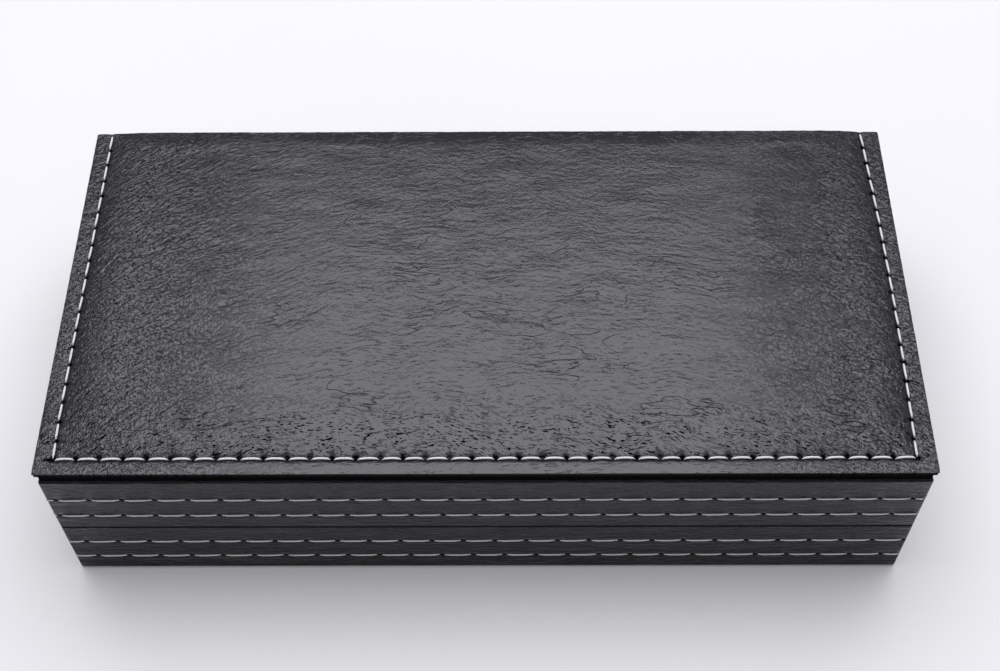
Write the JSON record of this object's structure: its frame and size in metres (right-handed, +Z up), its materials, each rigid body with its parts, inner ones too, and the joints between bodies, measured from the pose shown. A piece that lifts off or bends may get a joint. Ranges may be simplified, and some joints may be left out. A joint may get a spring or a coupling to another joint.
{
  "type": "fountain pen box",
  "caption": "Black leatherette clamshell box with a padded, white-stitched cover board, a flocked pen tray with elastic loops and a hinged lid.",
  "frame": {"origin": "centre of the underside, on the felt that the box stands on", "axes": "+Z up, +X along the width, -Y towards the front edge where the lid opens, +Y towards the hinges"},
  "size_m": [0.1756, 0.0904, 0.0426],
  "materials": {
    "leatherette": "glossy black grained leatherette",
    "fibreboard": "raw medium density fibreboard",
    "greyboard": "matt greyboard",
    "underside_felt": "black felt",
    "velvet_card": "black velvet paper on card",
    "tray_flock": "black flocked moulding",
    "elastic": "woven black elastic",
    "magnet_plating": "nickel plated discs",
    "hinge_brass": "polished brass",
    "satin": "ivory satin",
    "foam": "thin padding foam"
  },
  "bodies": {
    "base": {"base_front_wall": "fibreboard", "base_back_wall": "fibreboard", "base_left_wall": "fibreboard", "base_right_wall": "fibreboard", "base_floor_board": "fibreboard", "base_wrap": "leatherette", "base_underside_felt": "underside_felt", "base_lining": "velvet_card", "pen_tray": "tray_flock", "left_pen_loop": "elastic", "right_pen_loop": "elastic", "base_magnets": "magnet_plating", "base_hinge_screws": "hinge_brass", "left_hinge_base_leaf": "hinge_brass", "right_hinge_base_leaf": "hinge_brass", "left_hinge_pin": "hinge_brass", "right_hinge_pin": "hinge_brass"},
    "lid": {"lid_front_wall": "fibreboard", "lid_back_wall": "fibreboard", "lid_left_wall": "fibreboard", "lid_right_wall": "fibreboard", "lid_deck_board": "fibreboard", "lid_wrap": "leatherette", "lid_lining": "velvet_card", "lid_pad_card": "greyboard", "lid_pad_cushion": "satin", "lid_magnets": "magnet_plating", "lid_hinge_screws": "hinge_brass", "left_hinge_lid_leaf": "hinge_brass", "right_hinge_lid_leaf": "hinge_brass", "cover_spacer_board": "leatherette", "cover_board": "greyboard", "cover_foam": "foam", "cover_leather": "leatherette"}
  },
  "joints": [
    {"name": "lid_hinge", "type": "hinge", "parent": "base", "child": "lid", "pos_m": [0, 0.0453, 0.0188], "axis": [-1, 0, 0], "range_deg": [0, 100]}
  ]
}
